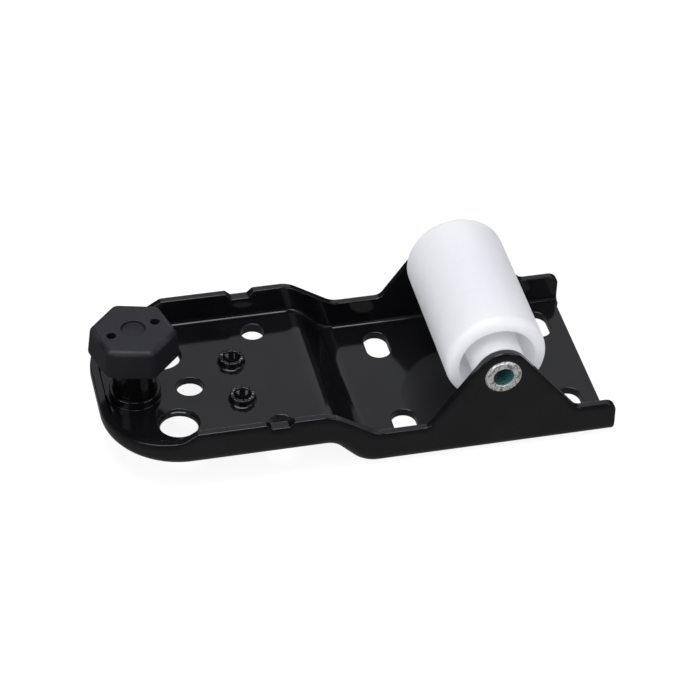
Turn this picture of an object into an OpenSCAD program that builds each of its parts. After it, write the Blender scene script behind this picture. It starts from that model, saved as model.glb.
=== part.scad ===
// Roller and levelling-foot bracket for the bottom corner of a cabinet, shown working side up.
// The mounting face lies on z = 0. The roller's axle stands over x = 0, and the foot is at -x.
// Sizes are in millimetres.

/* [Sheet] */
// Thickness of the pressed steel sheet
sheet_t = 3; // [2.4:0.1:3.4]
// Inside radius where a flange turns up from the floor
bend_r = 1.5; // [1:0.1:2.4]
// Width over both flanges
bracket_w = 75; // [70:0.5:86]
// Corner radius of the foot end, seen from above
end_corner_r = 27.4; // [20:0.2:31]

/* [Floors] */
// From the axle to the square end of the low floor
axle_to_end = 41.4; // [38:0.2:50]
// How much further the side flanges run than the floor
flange_overrun = 0.9; // [0:0.1:1.5]
// From the axle to the top of the step between the floors
axle_to_step = 60.8; // [58:0.2:62]
// How far the raised floor stands above the low one
step_drop = 10.6; // [8:0.2:12]
// Slope of the step
step_angle = 45; // [38:1:52]
// Radius under the top of the step
step_top_r = 7; // [4:0.5:8]
// Radius in the foot of the step
step_foot_r = 9.5; // [5:0.5:10]

/* [Flanges] */
// Height of the side flanges from the underside of their floor
flange_h = 13.5; // [11.5:0.1:15]
// Height of the flange at the two rounded corners
corner_flange_h = 10; // [8.5:0.1:10.5]
// Height of the flange at the very end
end_flange_h = 6.9; // [6:0.1:8]
// Depth of the shallow dip in each side flange
dip_depth = 1.9; // [1:0.1:2.4]
// Length of the dip along its bottom
dip_len = 6; // [4:0.2:8]

/* [Ears] */
// Height of the axle over the mounting face
axle_h = 33.1; // [31.5:0.1:36]
// Radius of an ear's top, about the axle
ear_r = 9.4; // [8:0.1:11]
// Slope of an ear's side towards the foot
ear_front_angle = 55.5; // [50:0.5:62]
// Slope of an ear's side towards the square end
ear_back_angle = 51.2; // [49:0.5:60]

/* [Fixing slots] */
// Width of the four slots in the low floor
slot_w = 8.8; // [6:0.1:10]
// Length of a slot, end to end
slot_len = 14; // [11:0.2:16]
// From slot to slot along the bracket
slot_pitch_x = 60; // [56:0.5:61]
// From slot to slot across the bracket
slot_pitch_y = 43; // [38:0.5:45]
// From the axle to the middle of the slots
slot_shift = 1; // [0:0.2:2]

/* [Raised floor] */
// Radius of the two large holes
big_hole_r = 6.95; // [5.5:0.05:7.5]
// From one large hole to the other
big_hole_pitch = 36; // [35:0.5:38]
// From the foot to the large holes
foot_to_big = 12.2; // [11.4:0.2:15]
// Radius of the hole on the middle line
mid_hole_r = 4.7; // [3:0.1:5.5]
// From the foot to the middle hole
foot_to_mid = 19.2; // [18:0.2:24]
// Radius of the two outer holes, beside the dips
side_hole_r = 4.2; // [3:0.1:4.8]
// From one outer hole to the other
side_hole_pitch = 49.8; // [46:0.2:51]
// From the foot to the outer holes
foot_to_side = 46.4; // [44:0.2:48]
// Radius of the bore of the two small drawn collars
collar_bore_r = 2.95; // [2:0.05:3.2]
// Outside radius of a small collar
collar_r = 4.4; // [3.8:0.1:5]
// Height of a small collar over the floor
collar_h = 2.5; // [1.5:0.1:4]
// From one small collar to the other
collar_pitch = 20.1; // [16:0.1:24]
// From the foot to the small collars
foot_to_collar = 35.9; // [34.5:0.2:38]

/* [Roller] */
// Radius of the roller
roller_r = 17.7; // [15:0.1:19]
// Length of the running surface with its rounded edges
roller_len = 59.2; // [50:0.2:62]
// Radius of its outer edges
roller_edge_r = 3; // [1:0.1:3.4]
// Radius of the hollow in each end
hollow_r = 14.1; // [12:0.1:14.5]
// Depth of the hollow
hollow_depth = 14; // [5:0.5:20]
// Radius of the hub that carries the axle
hub_r = 9.2; // [7.5:0.1:10]
// Gap left between the hub and each ear
hub_gap = 0.3; // [0.2:0.05:1]

/* [Axle] */
// Outside radius of the hollow axle
axle_r = 5; // [4.4:0.1:5.4]
// Radius of its bore
axle_bore_r = 3.5; // [2:0.1:3.6]
// Radius of the heads rolled over outside the ears
axle_head_r = 6.4; // [6:0.1:7.5]
// Thickness of a head
axle_head_t = 1; // [0.8:0.1:1.6]
// Clearance around the axle inside the roller
axle_fit = 0.08; // [0.03:0.01:0.1]

/* [Foot] */
// From the axle to the foot's own axis
axle_to_foot = 120.6; // [119:0.2:124]
// From the foot's axis to the rounded end
foot_to_end = 13.8; // [13.2:0.2:20]
// Size of the hexagon across its flats
foot_flats = 27; // [24:0.5:30]
// Thickness of the hexagonal head
foot_head_t = 11.6; // [8:0.1:14]
// Height of the head's underside over the mounting face
foot_head_z = 31.5; // [30:0.5:36]
// Turn of the hexagon
foot_turn = -13.7; // [-30:0.1:30]
// Radius of the head's upright corners, seen from above
foot_corner_r = 3.8; // [1:0.1:5]
// Radius around the top of the head
foot_top_r = 2.4; // [1:0.1:3]
// Radius of the shallow round recess in the head
recess_r = 4.1; // [3:0.1:5]
// Depth of that recess
recess_depth = 0.6; // [0.3:0.1:2]
// Radius of the stem
foot_stem_r = 7.6; // [6.5:0.1:8.4]
// Length of the stem below the head
foot_stem_len = 26; // [24:0.5:27]
// Clearance between the stem and its collar
stem_fit = 0.06; // [0.03:0.01:0.1]
// Wall of the collar that guides the stem
guide_wall = 1.3; // [1.1:0.1:1.8]
// Height of that collar over the floor
guide_h = 3.2; // [2:0.1:5]
// Spacing of the two small pin holes in the head
pin_hole_pitch = 16.4; // [14:0.2:18]
// Radius of the pin holes
pin_hole_r = 1.6; // [1:0.1:2]

/* [Hidden] */
$fn = 96;
eps = 0.01;
// how far cutters run past the metal
past = 2;
tall = 62;
outer_r = bend_r + sheet_t;
low_top = flange_h;
raised_top = step_drop + flange_h;
foot_x = -axle_to_foot;
end_x = foot_x - foot_to_end;
step_x = -axle_to_step;
flange_end_x = axle_to_end + flange_overrun;
inner_half = bracket_w / 2 - sheet_t;
raised_z = step_drop + sheet_t;
// the step as a top bend, a straight slope and a bottom bend, all measured on the underside
foot_out_r = step_foot_r + sheet_t;
slope_len = (step_drop - (step_top_r + foot_out_r) * (1 - cos(step_angle))) / sin(step_angle);
slope_x = step_x + step_top_r * sin(step_angle);
slope_z = step_drop - step_top_r * (1 - cos(step_angle));
low_x = slope_x + slope_len * cos(step_angle) + foot_out_r * sin(step_angle);
// the bends stand a hair proud of the straight runs, which carry on into them, so the forms cross cleanly
bend_proud = 0.01;
bend_lap = 0.2;
// where the flange tops leave the upper level and reach the lower one
ramp_top_x = step_x + 1.8;
ramp_foot_x = low_x - 0.6;
ramp_top_r = 11;
ramp_foot_r = 9;
// the ear's side lines, carried up to where they would cross
ear_front_x = -ear_r / sin(ear_front_angle) - (axle_h - low_top) / tan(ear_front_angle);
ear_back_x = ear_r / sin(ear_back_angle) + (axle_h - low_top) / tan(ear_back_angle);
ear_peak_x = (ear_front_x * tan(ear_front_angle) + ear_back_x * tan(ear_back_angle))
    / (tan(ear_front_angle) + tan(ear_back_angle));
ear_peak_z = low_top + (ear_peak_x - ear_front_x) * tan(ear_front_angle);
ear_root_r = 3.5;
flange_end_r = 3.5;
// the dip's middle, and the slopes beside it
dip_x = foot_x + foot_to_side - 2.7;
dip_flank = 1.9;
dip_corner_r = 0.8;
// where the flange tops start to fall towards the rounded end, and where they have come down
fall_start = 15.3;
fall_start_r = 3;
fall_end = 9.6;
fall_end_r = 4;
pin_fit = 0.05;
// the heads' rolled edge, which stays within their thickness
head_edge_r = 0.45 * axle_head_t;
hub_half = inner_half - hub_gap;
hollow_z = roller_len / 2 - hollow_depth;
hollow_root_r = 1.5;
foot_under_r = 1.3;
pin_hole_depth = 3.5;
recess_edge = 0.4;
guide_root_r = 0.5;
collar_root_r = 0.9;
stem_bevel = 1.2;

function unit(v) = v / norm(v);
function turn_of(a, b, c) = (b[0] - a[0]) * (c[1] - b[1]) - (b[1] - a[1]) * (c[0] - b[0]);
function half_angle(a, b, c) = acos(unit(a - b) * unit(c - b)) / 2;
function arc_start(a, b, c, r) = b + unit(a - b) * r / tan(half_angle(a, b, c));
function arc_centre(a, b, c, r) = b + unit(unit(a - b) + unit(c - b)) * r / sin(half_angle(a, b, c));

// An outline with a true arc of its own radius at each corner, counter-clockwise.
module rounded_outline(corners, radii) {
    n = len(corners);
    before = [for (i = [0:n - 1]) corners[(i + n - 1) % n]];
    after = [for (i = [0:n - 1]) corners[(i + 1) % n]];
    difference() {
        union() {
            polygon([for (i = [0:n - 1]) each radii[i] > 0
                ? [arc_start(before[i], corners[i], after[i], radii[i]),
                   arc_start(after[i], corners[i], before[i], radii[i])]
                : [corners[i]]]);
            for (i = [0:n - 1])
                if (radii[i] > 0 && turn_of(before[i], corners[i], after[i]) > 0)
                    translate(arc_centre(before[i], corners[i], after[i], radii[i])) circle(radii[i]);
        }
        for (i = [0:n - 1])
            if (radii[i] > 0 && turn_of(before[i], corners[i], after[i]) < 0)
                translate(arc_centre(before[i], corners[i], after[i], radii[i])) circle(radii[i]);
    }
}

// The channel's section, filled, with its rounded lower corners, shrunk by inset on three sides.
module channel_section(inset, high) {
    half = bracket_w / 2 - inset;
    r = outer_r - inset;
    translate([-half, r]) square([2 * half, high - r]);
    translate([r - half, 0]) square([2 * (half - r), r]);
    for (side = [-1, 1]) translate([side * (half - r), r]) circle(r);
}

// Half of that section, measured from the centre of a corner seen from above.
module corner_section(inset) {
    r = outer_r - inset;
    reach = end_corner_r - inset;
    translate([0, r]) square([reach, tall - r]);
    square([reach - r, r]);
    translate([reach - r, r]) circle(r);
}

module straight_run(inset, length) {
    translate([0, 0, inset]) rotate([90, 0, 90]) linear_extrude(length) channel_section(inset, tall);
}

// The rounded foot end: two quarter turns with a straight piece between them.
module rounded_end(inset) {
    side = bracket_w / 2 - end_corner_r;
    translate([end_x + end_corner_r, 0, step_drop + inset]) {
        translate([0, side, 0]) rotate(90) rotate_extrude(angle = 90) corner_section(inset);
        translate([0, -side, 0]) rotate(180) rotate_extrude(angle = 90) corner_section(inset);
        translate([0, -side, 0]) rotate([90, 0, 180]) linear_extrude(2 * side) corner_section(inset);
    }
}

// Everything the pressed tray holds above its skin, at a given depth into the metal.
module tray_form(inset) {
    bend_inset = inset - bend_proud;
    rounded_end(inset);
    translate([end_x + end_corner_r, 0, step_drop])
        straight_run(inset, step_x - end_x - end_corner_r + bend_lap);
    translate([step_x, 0, step_drop - step_top_r]) rotate([0, -90, -90])
        rotate_extrude(angle = step_angle)
            translate([step_top_r + bend_inset, 0]) rotate(-90) channel_section(bend_inset, tall);
    translate([slope_x, 0, slope_z]) rotate([0, step_angle, 0]) translate([-bend_lap, 0, 0])
        straight_run(inset, slope_len + 2 * bend_lap);
    translate([low_x, 0, foot_out_r]) rotate([0, 180, 0]) rotate([0, -90, -90])
        rotate_extrude(angle = step_angle)
            translate([foot_out_r - bend_inset, 0]) rotate(90)
                channel_section(bend_inset, foot_out_r - bend_inset - eps);
    translate([low_x - bend_lap, 0, 0]) straight_run(inset, flange_end_x - low_x + bend_lap);
}

// Side view of the blank: the flange tops with their dips and the two ears.
module side_outline() {
    half_dip = dip_len / 2;
    dip_z = raised_top - dip_depth;
    rounded_outline(
        [[end_x - past, -past], [flange_end_x, -past], [flange_end_x, low_top],
         [ear_back_x, low_top], [ear_peak_x, ear_peak_z], [ear_front_x, low_top],
         [ramp_foot_x, low_top], [ramp_top_x, raised_top],
         [dip_x + half_dip + dip_flank, raised_top], [dip_x + half_dip, dip_z],
         [dip_x - half_dip, dip_z], [dip_x - half_dip - dip_flank, raised_top],
         [foot_x + fall_start, raised_top], [foot_x + fall_end, step_drop + corner_flange_h],
         [end_x - past, step_drop + end_flange_h]],
        [0, 0, flange_end_r, ear_root_r, ear_r, ear_root_r, ramp_foot_r, ramp_top_r,
         dip_corner_r, dip_corner_r, dip_corner_r, dip_corner_r, fall_start_r, fall_end_r, 0]);
}

// Hole on the raised floor, with its edge broken a little where the punch came in.
module floor_hole(r) {
    edge = 0.3;
    translate([0, 0, step_drop - past]) cylinder(r = r, h = sheet_t + 2 * past);
    translate([0, 0, raised_z - edge]) cylinder(r1 = r, r2 = r + edge + eps, h = edge + eps);
}

// Ring drawn up out of the raised floor, with a fillet at its root.
module drawn_collar(bore_r, rim_r, rise, root_r) {
    translate([0, 0, raised_z]) rotate_extrude() {
        rounded_outline([[bore_r - 0.5, -1], [rim_r, -1], [rim_r, rise], [bore_r - 0.5, rise]],
            [0, 0, 0.5, 0]);
        difference() {
            translate([rim_r - 0.2, -0.5]) square([root_r + 0.2, root_r + 0.5]);
            translate([rim_r + root_r, root_r]) circle(root_r);
        }
    }
}

// The bore of a drawn collar, rounded at the mouth and where the sheet was drawn in from below.
module collar_bore(bore_r, rise, mouth, draw_r) {
    translate([0, 0, step_drop - past]) cylinder(r = bore_r, h = sheet_t + rise + 2 * past);
    translate([0, 0, raised_z + rise - mouth])
        cylinder(r1 = bore_r, r2 = bore_r + mouth + eps, h = mouth + eps);
    translate([0, 0, step_drop]) rotate_extrude() difference() {
        translate([bore_r - 0.2, -past]) square([draw_r + 0.2, draw_r + past]);
        translate([bore_r + draw_r, draw_r]) circle(draw_r);
        translate([bore_r + draw_r, -past]) square([draw_r, draw_r + past]);
    }
}

module fixing_slots() {
    straight = slot_len - slot_w;
    for (sx = [-1, 1], sy = [-1, 1])
        translate([slot_shift + sx * slot_pitch_x / 2, sy * slot_pitch_y / 2, -past])
            linear_extrude(sheet_t + 2 * past) {
                for (e = [-1, 1]) translate([0, e * straight / 2]) circle(slot_w / 2);
                translate([-slot_w / 2, -straight / 2]) square([slot_w, straight]);
            }
}

module floor_holes() {
    for (side = [-1, 1]) {
        translate([foot_x + foot_to_big, side * big_hole_pitch / 2, 0]) floor_hole(big_hole_r);
        translate([foot_x + foot_to_side, side * side_hole_pitch / 2, 0]) floor_hole(side_hole_r);
    }
    translate([foot_x + foot_to_mid, 0, 0]) floor_hole(mid_hole_r);
}

module bracket() {
    guide_bore_r = foot_stem_r + stem_fit;
    color([0.03, 0.03, 0.035]) difference() {
        union() {
            intersection() {
                difference() {
                    tray_form(0);
                    tray_form(sheet_t);
                }
                rotate([90, 0, 0]) linear_extrude(bracket_w + 2 * past, center = true) side_outline();
            }
            for (side = [-1, 1]) translate([foot_x + foot_to_collar, side * collar_pitch / 2, 0])
                drawn_collar(collar_bore_r, collar_r, collar_h, collar_root_r);
            translate([foot_x, 0, 0])
                drawn_collar(guide_bore_r, guide_bore_r + guide_wall, guide_h, guide_root_r);
        }
        floor_holes();
        fixing_slots();
        for (side = [-1, 1]) translate([foot_x + foot_to_collar, side * collar_pitch / 2, 0])
            collar_bore(collar_bore_r, collar_h, 0.4, 1.2);
        translate([foot_x, 0, 0]) collar_bore(guide_bore_r, guide_h, 0.4, 1.2);
        // axle holes through both ears
        translate([0, 0, axle_h]) rotate([90, 0, 0])
            cylinder(r = axle_r + pin_fit, h = bracket_w + 2 * past, center = true);
        // the floor stops short of the flange ends
        translate([axle_to_end, bend_r - inner_half, -past])
            cube([flange_overrun + past, 2 * (inner_half - bend_r), sheet_t + 2 * past]);
    }
}

// Hollow axle, its heads rolled over against the outside of the ears.
module axle() {
    half = bracket_w / 2;
    tip = half + axle_head_t;
    color([0.7, 0.7, 0.72]) translate([0, 0, axle_h]) rotate([90, 0, 0]) rotate_extrude()
        rounded_outline(
            [[axle_bore_r, -tip], [axle_head_r, -tip], [axle_head_r, -half], [axle_r, -half],
             [axle_r, half], [axle_head_r, half], [axle_head_r, tip], [axle_bore_r, tip]],
            [0.7, head_edge_r, 0.15, 0, 0, 0.15, head_edge_r, 0.7]);
}

// Half section of the roller: the body and its long hub, with a hollow in each end.
module roller_section() {
    half = roller_len / 2;
    bore_r = axle_r + axle_fit;
    difference() {
        union() {
            rounded_outline([[bore_r, -half], [roller_r, -half], [roller_r, half], [bore_r, half]],
                [0, roller_edge_r, roller_edge_r, 0]);
            rounded_outline([[bore_r, -hub_half], [hub_r, -hub_half], [hub_r, hub_half], [bore_r, hub_half]],
                [0.4, 0.5, 0.5, 0.4]);
        }
        for (side = [0, 1]) mirror([0, side])
            rounded_outline([[hub_r, hollow_z], [hollow_r, hollow_z], [hollow_r, half + past],
                [hub_r, half + past]], [hollow_root_r, hollow_root_r, 0, 0]);
    }
}

module roller() {
    color([0.92, 0.92, 0.93]) translate([0, 0, axle_h]) rotate([90, 0, 0])
        rotate_extrude() roller_section();
}

// One pair of the head's flats, with rounded edges above and below.
module flat_pair() {
    half = foot_flats / 2;
    rotate([90, 0, 0]) linear_extrude(2 * foot_flats, center = true)
        rounded_outline([[-half, 0], [half, 0], [half, foot_head_t], [-half, foot_head_t]],
            [foot_under_r, foot_under_r, foot_top_r, foot_top_r]);
}

module hex_prism() {
    corner = foot_flats / sqrt(3);
    rounds = [for (i = [0:5]) foot_corner_r];
    linear_extrude(foot_head_t)
        rounded_outline([for (i = [0:5]) corner * [cos(60 * i), sin(60 * i)]], rounds);
}

module foot() {
    color([0.1, 0.1, 0.11]) translate([foot_x, 0, foot_head_z]) rotate(foot_turn) difference() {
        union() {
            intersection() {
                hex_prism();
                rotate(30) flat_pair();
                rotate(90) flat_pair();
                rotate(150) flat_pair();
            }
            rotate([180, 0, 0]) rotate_extrude()
                rounded_outline([[0, -1], [foot_stem_r, -1], [foot_stem_r, foot_stem_len],
                    [0, foot_stem_len]], [0, 0, stem_bevel, 0]);
        }
        // shallow recess in the middle of the head, with a broken edge
        translate([0, 0, foot_head_t - recess_depth]) cylinder(r = recess_r, h = recess_depth + past);
        translate([0, 0, foot_head_t - recess_edge])
            cylinder(r1 = recess_r, r2 = recess_r + recess_edge + eps, h = recess_edge + eps);
        rotate(30) for (side = [-1, 1])
            translate([side * pin_hole_pitch / 2, 0, foot_head_t - pin_hole_depth])
                cylinder(r = pin_hole_r, h = pin_hole_depth + past);
    }
}

bracket();
axle();
roller();
foot();
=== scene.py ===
"""Cabinet bottom hinge bracket with its roller and levelling foot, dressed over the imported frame.

Sizes are worked out in millimetres, as on a drawing, and stored in metres. Each vertex carries its own
exact normal, so the pressed radii, rolled edges and moulded roundings shade cleanly.
"""
from __future__ import annotations

import itertools
import logging
import math
import sys
from collections.abc import Callable, Iterable, Sequence
from dataclasses import dataclass, field
from enum import Enum

import bmesh
import bpy
from mathutils import Matrix, Vector
from mathutils.geometry import delaunay_2d_cdt

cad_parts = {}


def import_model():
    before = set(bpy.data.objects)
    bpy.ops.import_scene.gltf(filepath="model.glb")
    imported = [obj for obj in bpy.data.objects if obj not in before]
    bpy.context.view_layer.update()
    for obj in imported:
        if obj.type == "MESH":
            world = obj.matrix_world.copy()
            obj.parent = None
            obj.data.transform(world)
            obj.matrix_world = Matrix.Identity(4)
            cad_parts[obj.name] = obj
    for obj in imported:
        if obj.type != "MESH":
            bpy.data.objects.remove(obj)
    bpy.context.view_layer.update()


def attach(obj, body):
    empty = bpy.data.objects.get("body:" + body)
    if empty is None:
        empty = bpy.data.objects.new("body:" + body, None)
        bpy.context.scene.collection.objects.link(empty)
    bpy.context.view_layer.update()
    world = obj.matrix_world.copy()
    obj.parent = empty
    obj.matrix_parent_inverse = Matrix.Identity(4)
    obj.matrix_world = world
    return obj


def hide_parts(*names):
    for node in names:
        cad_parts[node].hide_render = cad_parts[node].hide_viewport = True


LOG = logging.getLogger("hinge_bracket")
MM = 0.001
X, Y, Z = Vector((1, 0, 0)), Vector((0, 1, 0)), Vector((0, 0, 1))


class Body(Enum):
    """The bodies that the pieces ride on."""

    FRAME = "frame"
    ROLLER = "roller"
    FOOT = "foot"


class Slot(Enum):
    """The material slots named in the record."""

    COAT = "black_coat"
    STEEL = "plated_steel"
    WHITE = "white_plastic"
    DARK = "dark_plastic"


# Drawing


@dataclass(frozen=True)
class PathPoint:
    """A point on a drawn outline, and the unit normal beside it."""

    at: Vector
    normal: Vector


def rounded_path(
    corners: Sequence[tuple[float, float, float]], closed: bool = True, left: bool = False, step: float = 9.0
) -> list[PathPoint]:
    """Samples an outline whose corners are true arcs.

    Args:
        corners: x, y and radius of each corner, in order.
        closed: Whether the last corner joins the first.
        left: Whether the normal lies on the left of travel, and not on the right.
        step: The most degrees that one piece of an arc turns.

    Returns:
        The points in order, each with its normal.
    """
    side = -1.0 if left else 1.0
    places = [Vector((x, y)) for x, y, _ in corners]
    count = len(places)
    out: list[PathPoint] = []

    def note(at: Vector, along: Vector) -> None:
        """Adds one point whose normal is square to the way along."""
        out.append(PathPoint(at, side * Vector((along.y, -along.x))))

    for i, (place, (_, _, radius)) in enumerate(zip(places, corners)):
        first, last = not closed and i == 0, not closed and i == count - 1
        into = None if first else (place - places[i - 1]).normalized()
        away = None if last else (places[(i + 1) % count] - place).normalized()
        if into is None or away is None:
            note(place, away or into)
            continue
        turn = math.atan2(into.x * away.y - into.y * away.x, into.dot(away))
        start = place - into * radius * math.tan(abs(turn) / 2)
        centre = start + math.copysign(radius, turn) * Vector((-into.y, into.x))
        steps = max(1, math.ceil(math.degrees(abs(turn)) / step))
        for k in range(steps + 1):
            spin = Matrix.Rotation(turn * k / steps, 2)
            note(centre + spin @ (start - centre), spin @ into)
    return out


def shrunk(corners: Sequence[tuple[float, float, float]], depth: float) -> list[tuple[float, float, float]]:
    """Moves an open outline to its left, keeping its corners one for one.

    Args:
        corners: x, y and radius of each corner, in order.
        depth: How far every side moves.

    Returns:
        The moved corners, with radii that still fit beside the first ones.
    """
    places = [Vector((x, y)) for x, y, _ in corners]
    ways = [(b - a).normalized() for a, b in itertools.pairwise(places)]
    out: list[tuple[float, float, float]] = []
    for i, (place, (_, _, radius)) in enumerate(zip(places, corners)):
        into, away = ways[max(0, i - 1)], ways[min(i, len(ways) - 1)]
        left, next_left = Vector((-into.y, into.x)), Vector((-away.y, away.x))
        moved = place + (left + next_left) * (depth / (1 + left.dot(next_left)))
        bulges = into.x * away.y - into.y * away.x > 0
        if bulges:
            radius = max(0.02, radius - depth)
        elif radius:
            radius += depth
        out.append((moved.x, moved.y, radius))
    return out


def arc_angles(first: float, last: float, step: float = 7.5) -> list[float]:
    """Even angles in radians from first to last, which are in degrees.

    Args:
        first: The first angle.
        last: The last angle.
        step: The most degrees between two of them.

    Returns:
        The angles, both ends included.
    """
    count = max(1, math.ceil(abs(last - first) / step))
    return [math.radians(first + (last - first) * k / count) for k in range(count + 1)]


def ring_spots(
    centre: Vector, u: Vector, v: Vector, radius: float, count: int
) -> list[tuple[Vector, Vector]]:
    """Spots round a circle, each with the way that points off its centre.

    Args:
        centre: The circle's centre.
        u: Unit vector in the circle's plane.
        v: Unit vector in the plane, square to u.
        radius: The circle's radius.
        count: How many spots.

    Returns:
        Pairs of place and direction.
    """
    turns = [2 * math.pi * k / count for k in range(count)]
    ways = [u * math.cos(turn) + v * math.sin(turn) for turn in turns]
    return [(centre + way * radius, way) for way in ways]


def inside(spot: Vector, outline: Sequence[Vector]) -> bool:
    """Says whether a flat spot lies inside an outline, by crossings.

    Args:
        spot: The spot.
        outline: The outline's corners in order.

    Returns:
        True where the spot is inside.
    """
    hit = False
    for a, b in zip(outline, [*outline[1:], outline[0]]):
        if (a.y > spot.y) != (b.y > spot.y) and spot.x < a.x + (spot.y - a.y) * (b.x - a.x) / (b.y - a.y):
            hit = not hit
    return hit


@dataclass
class Blank:
    """A mesh in the making: places, exact normals, a mark for each vertex, for wear and on some pieces for
    painted light, and faces.
    """

    places: list[Vector] = field(default_factory=list)
    normals: list[Vector] = field(default_factory=list)
    marks: list[float] = field(default_factory=list)
    faces: list[tuple[int, ...]] = field(default_factory=list)

    def vertex(self, at: Vector, normal: Vector, mark: float = 0.0) -> int:
        """Adds a vertex.

        Args:
            at: Its place in millimetres.
            normal: The surface's normal there.
            mark: How much wear or bare metal the surface shows there, 0 to 1; on the foot and the axle it
                also places painted light.

        Returns:
            Its number.
        """
        self.places.append(at.copy())
        self.normals.append(normal.normalized())
        self.marks.append(mark)
        return len(self.places) - 1

    def strip(self, first: Sequence[int], second: Sequence[int], closed: bool = True) -> None:
        """Joins two rows of vertices with quads.

        Args:
            first: One row.
            second: The other row, as long.
            closed: Whether the rows are rings.
        """
        count = len(first)
        for i in range(count if closed else count - 1):
            j = (i + 1) % count
            self.faces.append((first[i], first[j], second[j], second[i]))

    def strips(self, rows: Sequence[Sequence[int]], closed: bool = True) -> None:
        """Joins each row with the next."""
        for first, second in itertools.pairwise(rows):
            self.strip(first, second, closed)

    def fill(self, outline: Sequence[int], holes: Sequence[Sequence[int]] = ()) -> None:
        """Fills a flat outline, leaving its holes open.

        Args:
            outline: The outer loop, which lies in one plane.
            holes: Loops of the openings.
        """
        normal = self.normals[outline[0]]
        u = normal.orthogonal().normalized()
        v = normal.cross(u)
        order = [*outline, *itertools.chain(*holes)]
        flat = [Vector((self.places[k].dot(u), self.places[k].dot(v))) for k in order]
        edges: list[tuple[int, int]] = []
        rims: list[list[Vector]] = []
        start = 0
        for loop in (outline, *holes):
            size = len(loop)
            edges += [(start + k, start + (k + 1) % size) for k in range(size)]
            rims.append(flat[start : start + size])
            start += size
        spots, _, faces, origins = delaunay_2d_cdt(flat, edges, [], 1, 1e-5)[:4]
        for face in faces:
            middle = sum((spots[k] for k in face), Vector((0, 0))) / len(face)
            if inside(middle, rims[0]) and not any(inside(middle, rim) for rim in rims[1:]):
                self.faces.append(tuple(order[origins[k][0]] for k in face))

    def sweep(
        self,
        spots: Sequence[tuple[Vector, Vector]],
        axis: Vector,
        profile: Sequence[PathPoint],
        mark: Callable[[float], float] | None = None,
    ) -> list[list[int]]:
        """Carries a profile round a closed loop.

        Args:
            spots: The loop's places, each with the profile's x direction there.
            axis: The profile's y direction.
            profile: The profile's points.
            mark: Gives the mark, for wear and painted highlight, from the profile's y.

        Returns:
            One ring of vertex numbers for each profile point.
        """
        rings = [
            [
                self.vertex(
                    at + way * p.at.x + axis * p.at.y,
                    way * p.normal.x + axis * p.normal.y,
                    mark(p.at.y) if mark else 0.0,
                )
                for at, way in spots
            ]
            for p in profile
        ]
        self.strips(rings)
        return rings

    def turn(
        self, axle_z: float, corners: Sequence[tuple[float, float, float]], count: int, step: float
    ) -> None:
        """Turns a closed outline about the roller's axis, alike at both ends.

        Args:
            axle_z: The axis's height.
            corners: The outline's half at the near end: radius, place along the axis and rounding.
            count: Spots round it.
            step: The most degrees that one piece of an arc turns.
        """
        outline = [*corners, *((r, -y, e) for r, y, e in reversed(corners))]
        spots = ring_spots(Vector((0, 0, axle_z)), X, Z, 0.0, count)
        rings = self.sweep(spots, Y, rounded_path(outline, step=step))
        self.strip(rings[-1], rings[0])

    def finish(
        self, name: str, body: Body, node: str, slot: Slot, material: bpy.types.Material
    ) -> bpy.types.Object:
        """Makes the object and puts it on its body.

        Args:
            name: The piece's name.
            body: The body that it rides on.
            node: The CAD node that it stands for.
            slot: Not used.
            material: Its material.

        Returns:
            The new object.
        """
        mesh = bpy.data.meshes.new(name)
        bm = bmesh.new()
        verts = [bm.verts.new(at * MM) for at in self.places]
        for face in self.faces:
            corners = [self.places[k] for k in face]
            turned = sum((a.cross(b) for a, b in zip(corners, [*corners[1:], corners[0]])), Vector())
            facing = sum((self.normals[k] for k in face), Vector())
            bm.faces.new([verts[k] for k in (face if turned.dot(facing) > 0 else reversed(face))])
        for loose in [e for e in bm.edges if len(e.link_faces) != 2]:
            LOG.warning("%s: open edge near %s", name, [round(c / MM, 2) for c in loose.verts[0].co])
            break
        for face in bm.faces:
            face.smooth = True
        bm.to_mesh(mesh)
        bm.free()
        # The mark for wear, which on the foot and the axle also places painted light.
        wear_and_painted_light = mesh.attributes.new("wear_and_painted_light", "FLOAT", "POINT")
        wear_and_painted_light.data.foreach_set("value", self.marks)
        mesh.normals_split_custom_set_from_vertices([tuple(n) for n in self.normals])
        mesh.materials.append(material)
        piece = bpy.data.objects.new(name, mesh)
        bpy.context.scene.collection.objects.link(piece)
        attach(piece, body.value)
        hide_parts(node)
        sizes = len(mesh.vertices), len(mesh.polygons)
        LOG.info("%s: %d vertices, %d faces, rides %s", name, *sizes, body.value)
        return piece


# Finishes


@dataclass(frozen=True)
class Wire:
    """One output socket, so that sums on masks read as plain arithmetic."""

    board: Board
    socket: bpy.types.NodeSocket

    def _math(self, operation: str, *values: Wire | float) -> Wire:
        """Adds a Math node that works on these values."""
        return self.board.node("ShaderNodeMath", {"operation": operation}, dict(enumerate(values)))

    def __add__(self, other: Wire | float) -> Wire:
        """self + other."""
        return self._math("ADD", self, other)

    __radd__ = __add__

    def __sub__(self, other: Wire | float) -> Wire:
        """self - other."""
        return self._math("SUBTRACT", self, other)

    def __rsub__(self, other: float) -> Wire:
        """other - self."""
        return self._math("SUBTRACT", other, self)

    def __mul__(self, other: Wire | float) -> Wire:
        """self * other."""
        return self._math("MULTIPLY", self, other)

    __rmul__ = __mul__

    def between(self, low: float, high: float) -> Wire:
        """A soft step: 0 below low, 1 above high.

        Args:
            low: Where the step starts.
            high: Where it ends.

        Returns:
            The mask.
        """
        return self.board.node(
            "ShaderNodeMapRange",
            {"interpolation_type": "SMOOTHSTEP"},
            {"Value": self, "From Min": low, "From Max": high, "To Min": 0.0, "To Max": 1.0},
        )


def opaque(value: object) -> object:
    """A colour with its alpha, or a wire as it is."""
    return (*value, 1.0) if isinstance(value, tuple) else value


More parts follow.
